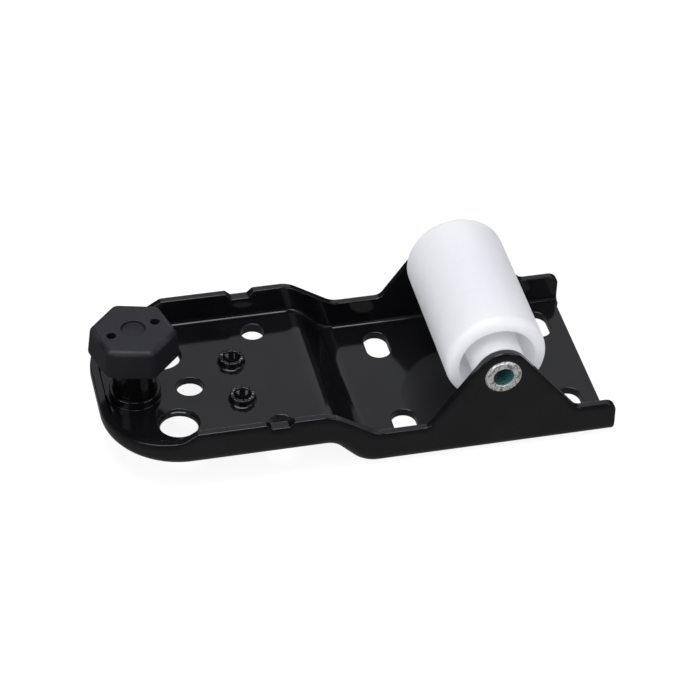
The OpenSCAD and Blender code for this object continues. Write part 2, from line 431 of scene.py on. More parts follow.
class Board:
    """A material's node tree while it is being wired."""

    def __init__(self, name: str) -> None:
        """Starts an empty tree.

        Args:
            name: The material's name.
        """
        self.material = bpy.data.materials.new(name)
        self.material.use_nodes = True
        self.tree = self.material.node_tree
        self.tree.nodes.clear()

    def node(
        self,
        kind: str,
        settings: dict[str, object] | None = None,
        inputs: dict[int | str, object] | None = None,
        out: int | str = 0,
    ) -> Wire:
        """Adds any node.

        Args:
            kind: The node's type name.
            settings: Its properties, set first.
            inputs: Values or wires for its sockets, by name or number.
            out: Which output to hand back.

        Returns:
            That output.
        """
        made = self.tree.nodes.new(kind)
        for key, value in (settings or {}).items():
            setattr(made, key, value)
        for key, value in (inputs or {}).items():
            if isinstance(value, Wire):
                self.tree.links.new(value.socket, made.inputs[key])
            else:
                made.inputs[key].default_value = value
        return Wire(self, made.outputs[out] if made.outputs else None)

    def spot(self) -> Wire:
        """The place on the piece, in metres in the shared frame."""
        return self.node("ShaderNodeTexCoord", out="Object")

    def axis(self, letter: str) -> Wire:
        """One coordinate of the place on the piece, in metres."""
        return self.node("ShaderNodeSeparateXYZ", None, {0: self.spot()}, letter)

    def wear_and_painted_light(self) -> Wire:
        """The mark that the mesh carries, for wear and for painted light."""
        return self.node("ShaderNodeAttribute", {"attribute_name": "wear_and_painted_light"}, None, "Fac")

    def noise(
        self, size: float, detail: float = 2.0, rough: float = 0.5, stretch: Sequence[float] = (1, 1, 1)
    ) -> Wire:
        """Soft noise.

        Args:
            size: The size of its features in millimetres.
            detail: How many finer layers it has.
            rough: How strong they are.
            stretch: Scale of the place along each axis.

        Returns:
            The noise, about 0.3 to 0.7.
        """
        factors = {0: self.spot(), 1: tuple(stretch)}
        spot = self.node("ShaderNodeVectorMath", {"operation": "MULTIPLY"}, factors)
        return self.node(
            "ShaderNodeTexNoise",
            None,
            {"Vector": spot, "Scale": 1 / (size * MM), "Detail": detail, "Roughness": rough},
        )

    def mix(self, mask: Wire | float, first: object, second: object) -> Wire:
        """Mixes two colours.

        Args:
            mask: 0 gives the first, 1 the second.
            first: A colour or wire.
            second: A colour or wire.

        Returns:
            The mixed colour.
        """
        sockets = {"Factor": mask, 6: opaque(first), 7: opaque(second)}
        return self.node("ShaderNodeMix", {"data_type": "RGBA", "clamp_factor": True}, sockets, 2)

    def bump(self, height: Wire, depth: float) -> Wire:
        """A bumped normal.

        Args:
            height: The height from 0 to 1.
            depth: What a height of 1 stands for, in millimetres.

        Returns:
            The normal.
        """
        return self.node("ShaderNodeBump", None, {"Distance": depth * MM, "Height": height})

    def surface(self, values: dict[str, object]) -> bpy.types.Material:
        """Ends the tree in a Principled surface.

        Args:
            values: Its sockets by name.

        Returns:
            The material.
        """
        full = {key: opaque(value) if "Color" in key else value for key, value in values.items()}
        shader = self.node("ShaderNodeBsdfPrincipled", None, full)
        self.node("ShaderNodeOutputMaterial", None, {"Surface": shader})
        return self.material


@dataclass(frozen=True)
class BlackCoat:
    """Gloss black coat on pressed steel: slight orange peel, a little duller where a tool cut the edge."""

    colour: tuple[float, float, float] = (0.0040, 0.0040, 0.0048)
    thin: tuple[float, float, float] = (0.0075, 0.0075, 0.0085)
    roughness: float = 0.10
    peel: float = 0.003

    def make(self) -> bpy.types.Material:
        """Wires the coat."""
        b = Board("black coat")
        cloud = b.noise(22, 3, 0.55)
        fine = b.noise(0.35, 2, 0.6)
        cut = b.wear_and_painted_light() * (b.noise(0.8, 3, 0.6).between(0.38, 0.62) * 0.7 + 0.3)
        rough = (cloud - 0.5) * 0.08 + self.roughness + cut * 0.10
        height = b.noise(1.3, 2, 0.45) * 0.8 + fine * 0.12 + cut * b.noise(0.3, 2, 0.6) * 1.2
        return b.surface(
            {
                "Base Color": b.mix(cloud.between(0.35, 0.7) * 0.6 + cut * 0.4, self.colour, self.thin),
                "Roughness": rough,
                "IOR": 1.5,
                "Normal": b.bump(height, self.peel),
            }
        )


@dataclass(frozen=True)
class WhiteMoulding:
    """Smooth white plastic with faint rolling marks round it.

    Light enters it deeply, and a painted glow, an emission over the whole roller, stands in for what reaches
    the surface from behind.
    """

    colour: tuple[float, float, float] = (0.64, 0.645, 0.66)
    soil: tuple[float, float, float] = (0.57, 0.57, 0.58)
    # A painted glow: the emission's colour and strength, though the roller is no lamp.
    painted_glow: tuple[float, float, float] = (0.97, 0.98, 1.0)
    painted_glow_share: float = 0.13

    def make(self) -> bpy.types.Material:
        """Wires the plastic."""
        b = Board("white moulding")
        cloud = b.noise(14, 3, 0.5)
        rolled = b.noise(1.6, 2, 0.55, (0.05, 1.0, 0.05))
        marks = rolled.between(0.56, 0.74) * cloud.between(0.4, 0.7)
        colour = b.mix(marks * 0.10 + b.wear_and_painted_light() * 0.55, self.colour, self.soil)
        rough = 0.42 + (cloud - 0.5) * 0.14 + marks * 0.10
        height = b.noise(0.5, 3, 0.6) * 0.5 + rolled * 0.5
        return b.surface(
            {
                "Base Color": colour,
                "Roughness": rough,
                "IOR": 1.5,
                "Subsurface Weight": 1.0,
                "Subsurface Radius": (1.0, 0.98, 0.96),
                "Subsurface Scale": 0.014,
                # Painted glow over the roller, dimmer on the rolling marks.
                "Emission Color": b.mix(marks * 0.3, self.painted_glow, self.soil),
                "Emission Strength": self.painted_glow_share,
                "Normal": b.bump(height, 0.006),
            }
        )


@dataclass(frozen=True)
class PlatedSteel:
    """Bright plated steel, crushed rough where the heads were rolled over, with painted shade in the crushed
    grooves and a teal painted reflection in the bore.
    """

    colour: tuple[float, float, float] = (0.86, 0.85, 0.83)
    # Painted shade: the dark colour of the crushed grooves.
    crease_shade: tuple[float, float, float] = (0.20, 0.195, 0.185)
    # Painted reflection: the teal that the bore shows.
    bore: tuple[float, float, float] = (0.16, 0.42, 0.46)

    def make(self) -> bpy.types.Material:
        """Wires the plating."""
        b = Board("plated steel")
        crushed = b.noise(0.75, 4, 0.65)
        patches = b.noise(1.6, 3, 0.6)
        # Painted shade along the crushed grooves.
        crease_shade_mask = crushed.between(0.47, 0.58) * (patches.between(0.38, 0.55) * 0.7 + 0.3)
        # The mesh's mark picks out the bore, which gets the teal painted reflection.
        inside = b.wear_and_painted_light()
        return b.surface(
            {
                "Base Color": b.mix(inside, b.mix(crease_shade_mask, self.colour, self.crease_shade), self.bore),
                "Metallic": 0.45 + patches * 0.4,
                "Roughness": 0.22 + crushed * 0.25 - inside * 0.08,
                "Normal": b.bump(crushed * (1 - inside * 0.6), 0.30),
            }
        )


@dataclass(frozen=True)
class DarkMoulding:
    """Matt black plastic with a fine spark-eroded grain, paler edges that are partly rubbing wear and partly
    a painted highlight, and a polished stem below.
    """

    colour: tuple[float, float, float] = (0.0085, 0.0085, 0.0108)
    # Paler edge colour: partly rubbing wear, partly a painted highlight.
    rubbed_and_highlit: tuple[float, float, float] = (0.026, 0.026, 0.030)
    hazy: tuple[float, float, float] = (0.0095, 0.0095, 0.0122)
    polished: tuple[float, float, float] = (0.003, 0.003, 0.0035)
    stem_top: float = 31.8

    def make(self) -> bpy.types.Material:
        """Wires the plastic."""
        b = Board("dark moulding")
        grain = b.noise(0.28, 2, 0.6)
        cloud = b.noise(9, 3, 0.55)
        # Paler at the marked edges: partly rubbing wear, partly a painted highlight.
        rub_and_highlight = b.wear_and_painted_light() * cloud.between(0.3, 0.7)
        head = b.mix(rub_and_highlight * 0.8, b.mix(cloud.between(0.4, 0.65), self.colour, self.hazy), self.rubbed_and_highlit)
        stem = 1 - b.axis("Z").between((self.stem_top - 0.4) * MM, self.stem_top * MM)
        rough = 0.50 + (cloud - 0.5) * 0.16 + (grain - 0.5) * 0.15 - stem * 0.34
        return b.surface(
            {
                "Base Color": b.mix(stem, head, self.polished),
                "Roughness": rough,
                "IOR": 1.48,
                "Specular IOR Level": 0.38,
                "Normal": b.bump(grain * (1 - stem * 0.9), 0.02),
            }
        )


@dataclass(frozen=True)
class PaleBoard:
    """The studio's plain pale floor."""

    colour: tuple[float, float, float] = (0.16, 0.16, 0.16)
    paler: tuple[float, float, float] = (0.165, 0.165, 0.165)

    def make(self) -> bpy.types.Material:
        """Wires the floor."""
        b = Board("pale board")
        soft = b.noise(60, 2, 0.5)
        return b.surface(
            {
                "Base Color": b.mix(soft, self.colour, self.paler),
                "Roughness": 0.85,
                "Specular IOR Level": 0.1,
                "Emission Color": (1.0, 1.0, 1.0),
                "Emission Strength": 0.90,
            }
        )


# The pressed bracket


@dataclass(frozen=True)
class Station:
    """A place along the bend line: the bend's centre, the way out and the way up from the floor."""

    centre: Vector
    out: Vector
    up: Vector

    def mirrored(self) -> Station:
        """The same place on the other side."""
        return Station(*(flip_y(v) for v in (self.centre, self.out, self.up)))

    def turned(self, angle: float) -> Vector:
        """The way from the bend's centre to its skin, from straight down at 0 to outward at a right angle."""
        return self.out * math.sin(angle) - self.up * math.cos(angle)


@dataclass(frozen=True)
class EdgePoint:
    """A place on the sheet's cut edge: both skins, the way into the sheet and the outer skin's normal.

    deep is where the outer skin starts to roll in, as the shear left it.
    """

    outer: Vector
    inner: Vector
    into: Vector
    skin: Vector
    deep: Vector

    def mirrored(self) -> EdgePoint:
        """The same place on the other side."""
        return EdgePoint(*(flip_y(v) for v in (self.outer, self.inner, self.into, self.skin, self.deep)))


@dataclass(frozen=True)
class RoundHole:
    """A round opening in the raised floor, placed from the foot's axis along and across the tray."""

    along: float
    aside: float
    radius: float


def flip_y(v: Vector) -> Vector:
    """A vector seen in the bracket's middle plane."""
    return Vector((v.x, -v.y, v.z))


@dataclass
class TrayBracket:
    """The pressed tray with its step, flanges, dips, ears, holes and drawn collars."""

    sheet: float = 3.0
    bend: float = 1.5
    width: float = 75.0
    end_corner: float = 27.4
    square_end: float = 42.3
    floor_end: float = 41.4
    step_x: float = -60.8
    drop: float = 10.6
    step_top: float = 7.0
    step_foot: float = 12.5
    step_tilt: float = 45.0
    flange: float = 13.5
    flange_turn: float = 3.5
    foot_x: float = -120.6
    end_x: float = -134.4
    axle_z: float = 33.1
    ear_r: float = 9.4
    ear_bore: float = 5.05
    ear_front: float = 55.5
    ear_back: float = 51.2
    fall_start: float = 15.3
    fall_end: float = 9.6
    fall_low: float = 10.0
    end_low: float = 6.9
    dip_along: float = 43.7
    dip_floor: float = 3.0
    dip_mouth: float = 4.9
    dip_depth: float = 1.9
    dip_turn: float = 0.8
    edge: float = 0.45
    bare: float = 0.25
    roll: float = 0.3
    roll_depth: float = 3.0
    swell: float = 1.1
    around: int = 56
    big_hole: RoundHole = RoundHole(12.2, 18.0, 6.6)
    ledge: float = 0.5
    ledge_depth: float = 1.1
    middle_hole: RoundHole = RoundHole(19.2, 0.0, 4.7)
    side_hole: RoundHole = RoundHole(46.4, 24.9, 4.2)
    side_burr: float = 0.6
    punch_edge: float = 0.35
    collar: RoundHole = RoundHole(35.9, 10.05, 2.95)
    collar_wall: float = 1.45
    collar_rise: float = 2.5
    collar_root: float = 0.9
    collar_threads: int = 5
    notch_height: float = 2.0
    guide: RoundHole = RoundHole(0.0, 0.0, 7.66)
    guide_wall: float = 1.3
    guide_rise: float = 3.2
    guide_root: float = 0.28
    slot_x: tuple[float, float] = (-29.0, 31.0)
    slot_aside: float = 21.5
    slot_width: float = 8.8
    slot_length: float = 14.0

    def __post_init__(self) -> None:
        """Works out what follows from the sizes."""
        self.blank = Blank()
        self.outer_r = self.bend + self.sheet
        self.half = self.width / 2
        self.line = self.half - self.outer_r
        self.corner_x = self.end_x + self.end_corner
        self.corner_y = self.half - self.end_corner
        cos, sin = math.cos(math.radians(self.step_tilt)), math.sin(math.radians(self.step_tilt))
        self.slope = (self.drop - (self.step_top + self.step_foot) * (1 - cos)) / sin
        self.low_x = self.step_x + self.step_top * sin + self.slope * cos + self.step_foot * sin
        self.bends = arc_angles(0, 90, 10)
        self.dip_x = self.foot_x + self.dip_along
        self.raised = self.drop + self.sheet

    def top_path(self, depth: float = 0.0) -> list[PathPoint]:
        """The flange's edge from the side, from the square end round the ear and dip to the foot end.

        Args:
            depth: How far inside the edge the path runs, point for point beside it.

        Returns:
            The path in x and z.
        """
        low, high = self.flange, self.drop + self.flange
        front, back = math.radians(self.ear_front), math.radians(self.ear_back)
        front_x = -self.ear_r / math.sin(front) - (self.axle_z - low) / math.tan(front)
        back_x = self.ear_r / math.sin(back) + (self.axle_z - low) / math.tan(back)
        peak_x = (front_x * math.tan(front) + back_x * math.tan(back)) / (math.tan(front) + math.tan(back))
        dip_z = high - self.dip_depth
        corners = [
            (self.square_end, self.outer_r, 0),
            (self.square_end, low, self.flange_turn),
            (back_x, low, self.flange_turn),
            (peak_x, low + (peak_x - front_x) * math.tan(front), self.ear_r),
            (front_x, low, self.flange_turn),
            (self.low_x - 0.6, low, 9),
            (self.step_x + 1.8, high, 11),
            (self.dip_x + self.dip_mouth, high, self.dip_turn),
            (self.dip_x + self.dip_floor, dip_z, self.dip_turn),
            (self.dip_x - self.dip_floor, dip_z, self.dip_turn),
            (self.dip_x - self.dip_mouth, high, self.dip_turn),
            (self.foot_x + self.fall_start, high, 3),
            (self.foot_x + self.fall_end, self.drop + self.fall_low, 4),
            (self.end_x - 2, self.drop + self.end_low, 0),
        ]
        return rounded_path(shrunk(corners, depth) if depth else corners, closed=False, step=5.0)

    def top_at(self, path: Sequence[PathPoint], x: float) -> PathPoint:
        """The flange's edge above one x.

        Args:
            path: The edge from top_path.
            x: Where, left of the square end.

        Returns:
            The place in x and z, and its normal.
        """
        for a, b in itertools.pairwise(path[2:]):
            if a.at.x >= x >= b.at.x and a.at.x > b.at.x:
                t = (a.at.x - x) / (a.at.x - b.at.x)
                return PathPoint(a.at.lerp(b.at, t), a.normal.lerp(b.normal, t).normalized())
        return path[-1]

    def half_stations(self) -> tuple[list[Station], int, int, int]:
        """Stations along one side, from the square end to the end's middle.

        Returns:
            The stations, and the numbers of those at the step's foot, its top and the corner's start.
        """
        r, found = self.outer_r, []

        def side(x: float, z: float, tilt: float = 0.0) -> None:
            """Adds a station whose outer floor lies at x and z, its floor tilted to the square end."""
            up = Vector((math.sin(tilt), 0, math.cos(tilt)))
            found.append(Station(Vector((x, self.line, z)) + up * r, Y, up))

        for x in (self.square_end - self.edge, 38.0, 0.0):
            side(x, 0)
        low = len(found)
        for tilt in arc_angles(0, self.step_tilt, 5):
            side(self.low_x - self.step_foot * math.sin(tilt), self.step_foot * (1 - math.cos(tilt)), tilt)
        for tilt in arc_angles(self.step_tilt, 0, 5):
            side(
                self.step_x + self.step_top * math.sin(tilt),
                self.drop - self.step_top * (1 - math.cos(tilt)),
                tilt,
            )
        top = len(found) - 1
        corner = len(found)
        for angle in arc_angles(90, 180, 3):
            out = Vector((math.cos(angle), math.sin(angle), 0))
            middle = Vector((self.corner_x, self.corner_y, self.drop + r))
            found.append(Station(middle + out * (self.end_corner - r), out, Z))
        return found, low, top, corner

    def half_edge(self, corner_stations: Sequence[Station]) -> tuple[list[EdgePoint], int, int, int]:
        """The sheet's cut edge on one side, from the floor's square end to the end's middle.

        Args:
            corner_stations: The stations round the corner.

        Returns:
            The points, and the numbers of those at the bend's floor, the bend's wall and the corner's start.
        """
        t, points = self.sheet, []
        plan = rounded_path(
            [
                (self.floor_end, self.line - 12, 0),
                (self.floor_end, self.line - 1.3, 0.6),
                (self.square_end, self.line - 0.5, 0.6),
                (self.square_end, self.line, 0),
            ],
            closed=False,
            step=15.0,
        )
        near = self.edge + 0.05
        for p in plan[:-1]:
            low, into = Vector((p.at.x, p.at.y, 0)), Vector((-p.normal.x, -p.normal.y, 0))
            points.append(EdgePoint(low, low + Z * t, into, -Z, low + into * near))
        end = Station(Vector((self.square_end, self.line, self.outer_r)), Y, Z)
        at_floor = len(points)
        for angle in self.bends:
            way = end.turned(angle)
            spot = end.centre + way * self.outer_r
            points.append(EdgePoint(spot, end.centre + way * self.bend, -X, way, spot - X * near))
        at_wall = len(points) - 1
        path, deep_path = self.top_path(), self.top_path(self.roll_depth)
        side = [(p, q) for p, q in zip(path[1:], deep_path[1:]) if p.at.x > self.corner_x + 0.05]
        reach = self.dip_mouth + 0.5
        side.append((self.top_at(path, self.corner_x), self.top_at(deep_path, self.corner_x)))
        for p, q in side:
            spot = Vector((p.at.x, self.half, p.at.y))
            deep = Vector((q.at.x, self.half, q.at.y))
            share = (reach - abs(p.at.x - self.dip_x)) / (reach - self.dip_floor)
            swell = self.swell * max(0.0, min(1.0, share))
            into = Vector((-p.normal.x, 0, -p.normal.y))
            points.append(EdgePoint(spot, spot - Y * (t + swell), into, Y, deep))
        at_corner = len(points) - 1
        bend_top = self.drop + self.outer_r + 0.3
        for station in corner_stations[1:]:
            out, skins = station.out, []
            for radius in (self.outer_r, self.bend):
                spot = station.centre + out * radius
                skins.append(Vector((spot.x, spot.y, self.top_at(path, spot.x).at.y)))
            slant = self.top_at(path, skins[0].x).normal
            level = Vector((slant.x, 0, slant.y))
            deep = Vector((skins[0].x, skins[0].y, max(bend_top, skins[0].z - self.roll_depth)))
            points.append(EdgePoint(*skins, -(level - level.dot(out) * out).normalized(), out, deep))
        return points, at_floor, at_wall, at_corner

    def edge_rings(self, points: Sequence[EdgePoint]) -> list[list[int]]:
        """Rounds the cut edge from one skin to the other.

        Args:
            points: The whole edge in order.

        Returns:
            Rings of vertices, the first on the outer skin and the last on the inner one.
        """
        e, rings = self.edge, []
        reach = self.roll_depth - e

        def shear(p: EdgePoint) -> tuple[float, float, Vector]:
            """How fully the skin rolls in there, its angle at the edge, and the way across the sheet."""
            share = min(1.0, (p.deep - p.outer - p.into * e).length / reach)
            return share, 2 * self.roll * share / reach, (p.inner - p.outer).normalized()

        for part in (0.0, 0.25, 0.5, 0.75):
            ring = []
            for p in points:
                share, slope, across = shear(p)
                flat = p.deep.lerp(p.outer + p.into * e * (1 - math.sin(slope)), part)
                at = flat + across * self.roll * (share * part) ** 2
                ring.append(self.blank.vertex(at, p.skin - p.into * slope * part))
            rings.append(ring)
        for k in range(5):
            ring = []
            for p in points:
                share, first, across = shear(p)
                angle = first + (math.pi / 2 - first) * k / 4
                start = p.outer + p.into * e * (1 - math.sin(first)) + across * self.roll * share**2
                centre = start + (across * math.cos(first) + p.into * math.sin(first)) * e
                normal = p.skin * math.cos(angle) - p.into * math.sin(angle)
                ring.append(self.blank.vertex(centre + normal * e, normal, self.bare * math.sin(angle)))
            rings.append(ring)
        for angle in reversed(arc_angles(0, 90, 22)):
            ring = []
            for p in points:
                across = (p.outer - p.inner).normalized()
                at = p.inner + p.into * e * (1 - math.sin(angle)) + across * e * (1 - math.cos(angle))
                normal = -p.skin * math.cos(angle) - p.into * math.sin(angle)
                ring.append(self.blank.vertex(at, normal, self.bare * math.sin(angle)))
            rings.append(ring)
        self.blank.strips(rings)
        return rings

    def hole_profile(self, stepped: bool = False, burr: float = 0.0) -> list[PathPoint]:
        """A punched hole's wall from the inner skin down, rounded at both edges.

        Args:
            stepped: Whether a small ledge runs round it, as in the large holes.
            burr: How far the punch pushed the lower edge out of the sheet.

        Returns:
            The profile, measured from the hole's wall and down from the inner skin.
        """
        t, e, wide, deep = self.sheet, self.punch_edge, self.ledge, self.ledge_depth
        if stepped:
            corners = [(wide + e, 0, 0), (wide, 0, e), (wide, deep, 0.15), (0, deep + 0.25, 0.12)]
            corners += [(0, t, 0.3), (e, t, 0)]
        elif burr:
            corners = [(e, 0, 0), (0, 0, e), (0, t + burr, 0.15), (e, t + burr, 0.15), (e + 0.4, t, 0)]
        else:
            corners = [(e, 0, 0), (0, 0, e), (0, t, 0.3), (e, t, 0)]
        return rounded_path(corners, closed=False, left=True, step=24)

    def collar_profile(self, wall: float, rise: float, root: float, threads: int = 0) -> list[PathPoint]:
        """A drawn collar: up from the floor, over its mouth and down the bore.

        Args:
            wall: The collar's wall.
            rise: Its height over the floor.
            root: The fillet at its root.
            threads: How many turns of thread its bore shows.

        Returns:
            The profile, measured from the bore's wall and down from the inner skin.
        """
        t = self.sheet
        corners = [(wall + root, 0, 0), (wall, 0, root * 0.98)]
        corners += [(wall, -rise, min(0.45, wall * 0.4)), (0, -rise, 0.35)]
        for k in range(threads):
            at = 0.7 - rise + k * (t + rise - 1.2) / threads
            corners += [(0, at, 0.06), (0.32, at + 0.42, 0.06)]
        corners += [(0, t - 0.1, 0.06)] if threads else []
        corners += [(0, t, 0), (0.35, t, 0)] if threads else [(0, t, 1.2), (1.25, t, 0)]
        return rounded_path(corners, closed=False, left=True, step=18)

    def notch(self, rings: Sequence[Sequence[int]], centre: Vector) -> None:
        """Scallops a collar's mouth, as the punch tore it.

        Args:
            rings: The collar's rings.
            centre: A point on its axis, just below the rounded mouth.
        """
        blank = self.blank
        for k in itertools.chain(*rings):
            off = blank.places[k] - centre
            out = Vector((off.x, off.y, 0)).normalized()
            if off.z < 0 or blank.normals[k].dot(out) < -0.8:
                continue
            angle = math.atan2(off.y, off.x) + centre.y  # the two mouths are torn differently
            wave = 0.09 * math.cos(13 * angle) + 0.08 * math.cos(5 * angle + 1)
            slope = 1.17 * math.sin(13 * angle) + 0.40 * math.sin(5 * angle + 1)
            normal = blank.normals[k]
            lean = slope / math.hypot(off.x, off.y) * (0.7 * normal.dot(out) + normal.z)
            blank.places[k] = blank.places[k] + (out * 0.7 + Z) * wave
            blank.normals[k] = (normal + Z.cross(out) * lean).normalized()

    def floor_openings(self) -> tuple[list[list[list[int]]], list[list[list[int]]]]:
        """Cuts the holes, slots and collars.

        Returns:
            The rings of each opening in the low floor, and of each in the raised floor.
        """
        low: list[list[list[int]]] = []
        high: list[list[list[int]]] = []

        def punch(hole: RoundHole, side: int, profile: Sequence[PathPoint], count: int) -> Vector:
            """Makes one round opening in the raised floor and hands back its middle."""
            middle = Vector((self.foot_x + hole.along, side * hole.aside, self.raised))
            high.append(self.blank.sweep(ring_spots(middle, X, Y, hole.radius, count), -Z, profile))
            return middle

        drawn = self.collar_profile(self.collar_wall, self.collar_rise, self.collar_root, self.collar_threads)
        for side in (-1, 1):
            punch(self.big_hole, side, self.hole_profile(stepped=True), 72)
            punch(self.side_hole, side, self.hole_profile(burr=self.side_burr), self.around)
            middle = punch(self.collar, side, drawn, 124)
            self.notch(high[-1], middle + Z * self.notch_height)
        punch(self.middle_hole, 1, self.hole_profile(), self.around)
        punch(self.guide, 1, self.collar_profile(self.guide_wall, self.guide_rise, self.guide_root), 96)
        wide, long = self.slot_width / 2, self.slot_length / 2
        for x, y in itertools.product(self.slot_x, (-self.slot_aside, self.slot_aside)):
            signs = (-1, -1), (1, -1), (1, 1), (-1, 1)
            ends = [(x + a * wide, y + b * long, wide - 0.001) for a, b in signs]
            spots = [
                (Vector((p.at.x, p.at.y, self.sheet)), Vector((p.normal.x, p.normal.y, 0)))
                for p in rounded_path(ends, step=7.5)
            ]
            merged = [a for a, b in zip(spots, [*spots[1:], spots[0]]) if (a[0] - b[0]).length > 0.05]
            low.append(self.blank.sweep(merged, -Z, self.hole_profile()))
        return low, high

    def build(self, material: bpy.types.Material) -> bpy.types.Object:
        """Builds the tray as one closed sheet.

        Args:
            material: The coat.

        Returns:
            The bracket.
        """
        blank = self.blank
        stations, low, top, corner = self.half_stations()
        edge, at_floor, at_wall, at_corner = self.half_edge(stations[corner:])
        stations += [s.mirrored() for s in reversed(stations)]
        edge += [p.mirrored() for p in reversed(edge)]
        rings = self.edge_rings(edge)
        low_holes, high_holes = self.floor_openings()
        ears = []
        for side in (1, -1):
            middle = Vector((0, side * self.half, self.axle_z))
            spots = ring_spots(middle, X, Z, self.ear_bore, 48)
            ears.append(blank.sweep(spots, -side * Y, self.ear_profile()))
        last, far = len(stations) - 1, len(edge) - 1
        for outer in (True, False):
            rim = rings[0] if outer else rings[-1]
            radius, sign = (self.outer_r, 1) if outer else (self.bend, -1)
            rows: list[list[int]] = []
            for number, station in enumerate(stations):
                if number == 0:
                    rows.append(rim[at_floor : at_wall + 1])
                elif number == last:
                    rows.append([rim[far - i] for i in range(at_floor, at_wall + 1)])
                else:
                    ways = [station.turned(angle) for angle in self.bends]
                    rows.append([blank.vertex(station.centre + w * radius, w * sign) for w in ways])
            blank.strips(rows, closed=False)
            for s in range(corner, last - corner):
                k = at_corner + s - corner
                blank.faces.append((rows[s][-1], rows[s + 1][-1], rim[k + 1], rim[k]))
            ear = 0 if outer else -1
            near = [*rim[at_wall : at_corner + 1], *(rows[s][-1] for s in range(corner, 0, -1))]
            blank.fill(near, [ears[0][ear]])
            mirror = [rim[far - i] for i in range(at_wall, at_corner + 1)]
            blank.fill([*mirror, *(rows[last - s][-1] for s in range(corner, 0, -1))], [ears[1][ear]])
            raised = [rows[s][0] for s in range(top, last - top + 1)]
            blank.fill(raised, [h[-1 if outer else 0] for h in high_holes])
            for s in range(low, top):
                blank.faces.append((rows[s][0], rows[s + 1][0], rows[last - s - 1][0], rows[last - s][0]))
            outline = [rows[s][0] for s in range(low, 0, -1)]
            outline += [rim[i] for i in range(at_floor, -1, -1)]
            outline += [rim[far - i] for i in range(at_floor + 1)]
            outline += [rows[last - s][0] for s in range(1, low + 1)]
            blank.fill(outline, [h[-1 if outer else 0] for h in low_holes])
        return blank.finish("tray_bracket", Body.FRAME, "bracket", Slot.COAT, material)

    def ear_profile(self) -> list[PathPoint]:
        """The wall of an ear's axle hole."""
        t = self.sheet
        corners = [(0.3, 0, 0), (0, 0, 0.2), (0, t, 0.2), (0.3, t, 0)]
        return rounded_path(corners, closed=False, left=True, step=30)


# Roller, axle and foot


@dataclass
class Roller:
    """The plastic roller: a running surface with wide rounded edges, hollow ends and a long hub."""

    axle_z: float = 33.1
    radius: float = 17.7
    length: float = 60.4
    edge: float = 3.6
    hollow: float = 13.5
    depth: float = 14.0
    hub: float = 9.2
    hub_half: float = 34.2
    bore: float = 5.08
    fillet: float = 1.5
    lip: float = 0.35

    def build(self, material: bpy.types.Material) -> bpy.types.Object:
        """Turns the roller.

        Args:
            material: The plastic.

        Returns:
            The roller.
        """
        half, floor = self.length / 2, self.length / 2 - self.depth
        right = [
            (self.bore, -self.hub_half, 0.4),
            (self.hub, -self.hub_half, 0.6),
            (self.hub, -floor, self.fillet),
            (self.hollow, -floor, self.fillet),
            (self.hollow, -half, self.lip),
            (self.radius, -half, self.edge),
        ]
        blank = Blank()
        blank.turn(self.axle_z, right, 144, 7.5)
        return blank.finish("white_roller", Body.ROLLER, "roller", Slot.WHITE, material)


@dataclass
class HollowAxle:
    """The hollow axle, its ends rolled over outside the ears."""

    axle_z: float = 33.1
    radius: float = 5.0
    bore: float = 3.5
    head: float = 6.4
    thick: float = 1.0
    half: float = 37.5

    def build(self, material: bpy.types.Material) -> bpy.types.Object:
        """Turns the axle.

        Args:
            material: The plating.

        Returns:
            The axle.
        """
        tip = self.half + self.thick
        right = [
            (self.bore, -tip, 0.75),
            (self.head - 0.5, -tip, 0.5),
            (self.head, -self.half - 0.45, 0.3),
            (self.head, -self.half, 0.12),
            (self.radius, -self.half, 0.05),
        ]
        blank = Blank()
        blank.turn(self.axle_z, right, 96, 12)
        # Marks the bore, where the plating gets a teal painted reflection.
        for k, at in enumerate(blank.places):
            if math.hypot(at.x, at.z - self.axle_z) < self.bore + 0.12:
                blank.marks[k] = 1.0
        return blank.finish("hollow_axle", Body.FRAME, "axle", Slot.STEEL, material)


